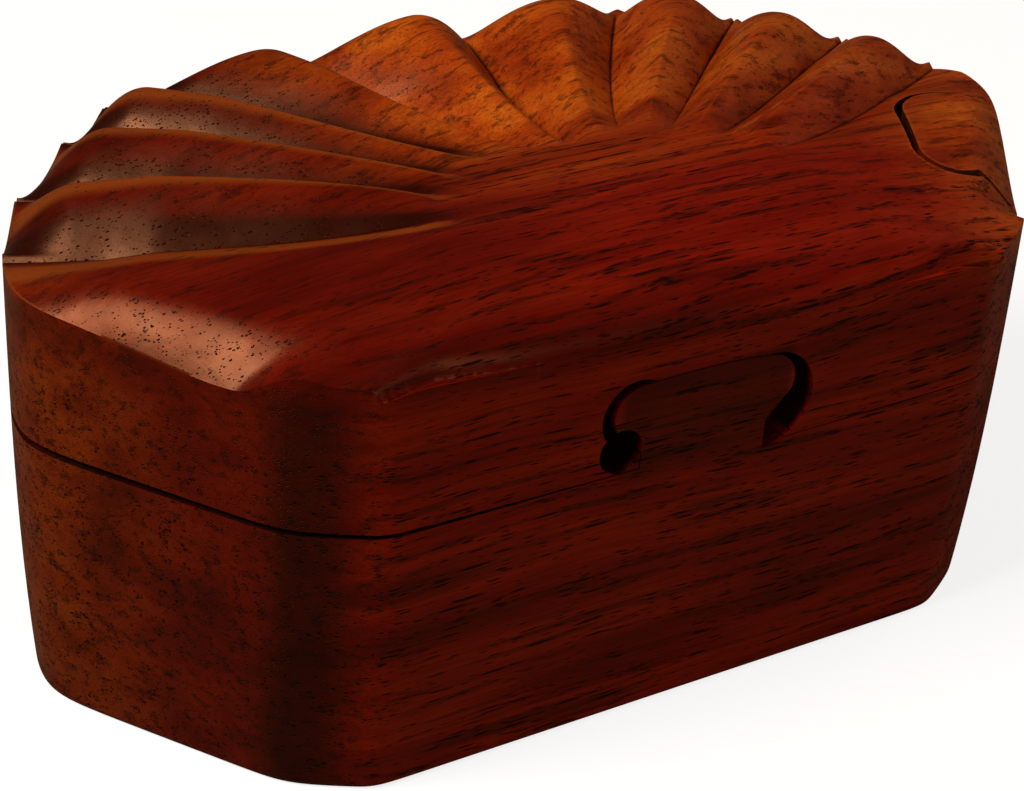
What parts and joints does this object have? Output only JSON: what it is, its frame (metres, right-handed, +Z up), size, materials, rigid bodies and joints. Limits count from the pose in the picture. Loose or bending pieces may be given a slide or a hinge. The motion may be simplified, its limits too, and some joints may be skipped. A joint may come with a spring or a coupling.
{
  "type": "wooden puzzle box",
  "caption": "Scallop-shell puzzle box sawn from one wood block: the carved lid slides off a jigsaw tab once a corner key and a hidden pin let it go.",
  "frame": {"origin": "Centre of the bounding box in plan, on the surface the box stands on, in the closed pose.", "axes": "+Z up; the flat front face, with the jigsaw tab, faces -Y; +X is to the right when looking at the front, where the corner key is; the lid slides towards +Y."},
  "size_m": [0.1496, 0.085, 0.0692],
  "materials": {
    "carved_wood": "gloss",
    "slab_wood": "gloss",
    "felt": "matte",
    "pin_steel": "satin"
  },
  "bodies": {
    "base": {"base_body": "carved_wood", "bottom_slab": "slab_wood", "floor_felt": "felt"},
    "lid": {"shell_lid": "carved_wood"},
    "key": {"corner_key": "carved_wood"},
    "pin": {"lock_pin": "pin_steel"}
  },
  "joints": [
    {"name": "lid_slide", "type": "slide", "parent": "base", "child": "lid", "axis": [0, 1, 0], "range_m": [0, 0.09]},
    {"name": "key_lift", "type": "slide", "parent": "lid", "child": "key", "axis": [0, 0, 1], "range_m": [0, 0.032]},
    {"name": "pin_slide", "type": "slide", "parent": "lid", "child": "pin", "axis": [-1, 0, 0], "range_m": [0, 0.009]}
  ]
}
